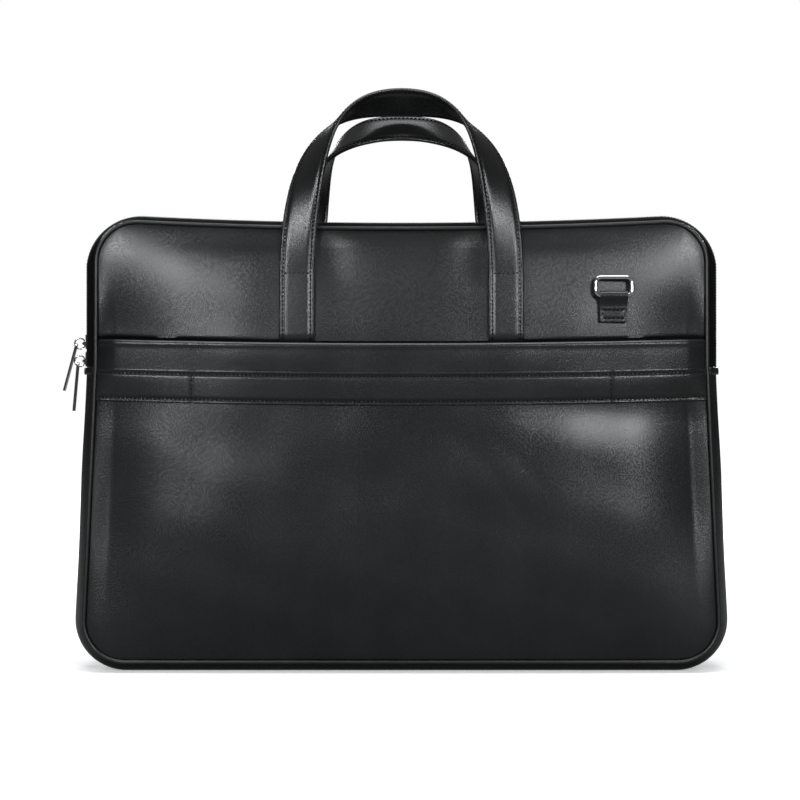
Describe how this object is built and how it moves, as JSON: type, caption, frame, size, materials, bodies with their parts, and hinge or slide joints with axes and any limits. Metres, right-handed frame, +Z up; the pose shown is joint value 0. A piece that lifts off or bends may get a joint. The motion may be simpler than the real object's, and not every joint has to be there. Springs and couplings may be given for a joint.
{
  "type": "briefcase",
  "caption": "Slim soft leather laptop briefcase with a zip round the top, a front slip pocket with a luggage band, paired strap handles and metal strap rings.",
  "frame": {"origin": "centre of the base, on the floor", "axes": "+Z up, the front faces -Y, +X to the right of someone facing the front"},
  "size_m": [0.425, 0.0738, 0.3691],
  "materials": {
    "leather": "fine-grained, semi-matt black",
    "strap_leather": "smooth black strap leather with edge stitching",
    "lining": "woven lining",
    "padding": "closed-cell foam",
    "board": "stiff base board",
    "zip_tape": "woven tape",
    "zip_coil": "nylon coil",
    "polished_metal": "polished nickel"
  },
  "bodies": {
    "shell": {"back_panel": "leather", "back_foam": "padding", "back_lining": "lining", "back_piping": "leather", "front_panel_lower": "leather", "front_foam_lower": "padding", "front_lining_lower": "lining", "front_piping_lower": "leather", "left_gusset": "leather", "right_gusset": "leather", "base_gusset": "leather", "base_board": "board", "gusset_lining": "lining", "zip_end_hems": "leather", "back_zip_tape": "zip_tape", "back_zip_coil": "zip_coil", "pocket_panel": "leather", "pocket_lining": "lining", "luggage_band": "leather", "laptop_divider": "lining", "divider_binding": "leather", "rear_handle_anchors": "strap_leather", "rear_ring_tab": "strap_leather"},
    "front_mouth": {"front_panel_upper": "leather", "front_foam_upper": "padding", "front_lining_upper": "lining", "front_piping_upper": "leather", "front_zip_tape": "zip_tape", "front_zip_coil": "zip_coil", "pocket_top": "leather", "front_handle_anchors": "strap_leather", "front_ring_tab": "strap_leather"},
    "front_handle": {"front_handle": "strap_leather"},
    "rear_handle": {"rear_handle": "strap_leather"},
    "front_strap_ring": {"front_strap_ring": "polished_metal"},
    "rear_strap_ring": {"rear_strap_ring": "polished_metal"},
    "lower_slider": {"lower_slider": "polished_metal"},
    "upper_slider": {"upper_slider": "polished_metal"},
    "lower_pull_ring": {"lower_pull_ring": "polished_metal"},
    "upper_pull_ring": {"upper_pull_ring": "polished_metal"},
    "lower_pull": {"lower_pull": "polished_metal"},
    "upper_pull": {"upper_pull": "polished_metal"}
  },
  "joints": [
    {"name": "mouth_opening", "type": "hinge", "parent": "shell", "child": "front_mouth", "pos_m": [0, -0.0367, 0.192], "axis": [1, 0, 0], "range_deg": [0, 25]},
    {"name": "front_handle_fold", "type": "hinge", "parent": "front_mouth", "child": "front_handle", "pos_m": [0, -0.03071, 0.2505], "axis": [1, 0, 0], "range_deg": [0, 150]},
    {"name": "rear_handle_fold", "type": "hinge", "parent": "shell", "child": "rear_handle", "pos_m": [0, 0.03071, 0.2505], "axis": [-1, 0, 0], "range_deg": [0, 150]},
    {"name": "front_ring_swing", "type": "hinge", "parent": "front_mouth", "child": "front_strap_ring", "pos_m": [0.1326, -0.03172, 0.2362], "axis": [1, 0, 0], "range_deg": [0, 165]},
    {"name": "rear_ring_swing", "type": "hinge", "parent": "shell", "child": "rear_strap_ring", "pos_m": [-0.1326, 0.03172, 0.2362], "axis": [-1, 0, 0], "range_deg": [0, 165]},
    {"name": "lower_slider_run", "type": "slide", "parent": "shell", "child": "lower_slider", "axis": [0, 0, 1], "range_m": [0, 0.015]},
    {"name": "upper_slider_run", "type": "slide", "parent": "lower_slider", "child": "upper_slider", "axis": [0, 0, 1], "range_m": [0, 0.025]},
    {"name": "lower_ring_turn", "type": "hinge", "parent": "lower_slider", "child": "lower_pull_ring", "pos_m": [-0.2063, 0, 0.196], "axis": [0, 1, 0], "range_deg": [0, 8]},
    {"name": "upper_ring_turn", "type": "hinge", "parent": "upper_slider", "child": "upper_pull_ring", "pos_m": [-0.2063, 0, 0.2072], "axis": [0, 1, 0], "range_deg": [0, 100]},
    {"name": "lower_pull_swing", "type": "hinge", "parent": "lower_pull_ring", "child": "lower_pull", "pos_m": [-0.20768, 0, 0.19289], "axis": [0.9962, 0, -0.0872], "range_deg": [-30, 30]},
    {"name": "upper_pull_swing", "type": "hinge", "parent": "upper_pull_ring", "child": "upper_pull", "pos_m": [-0.20891, 0, 0.20502], "axis": [0.9659, 0, -0.2588], "range_deg": [-30, 30]}
  ]
}
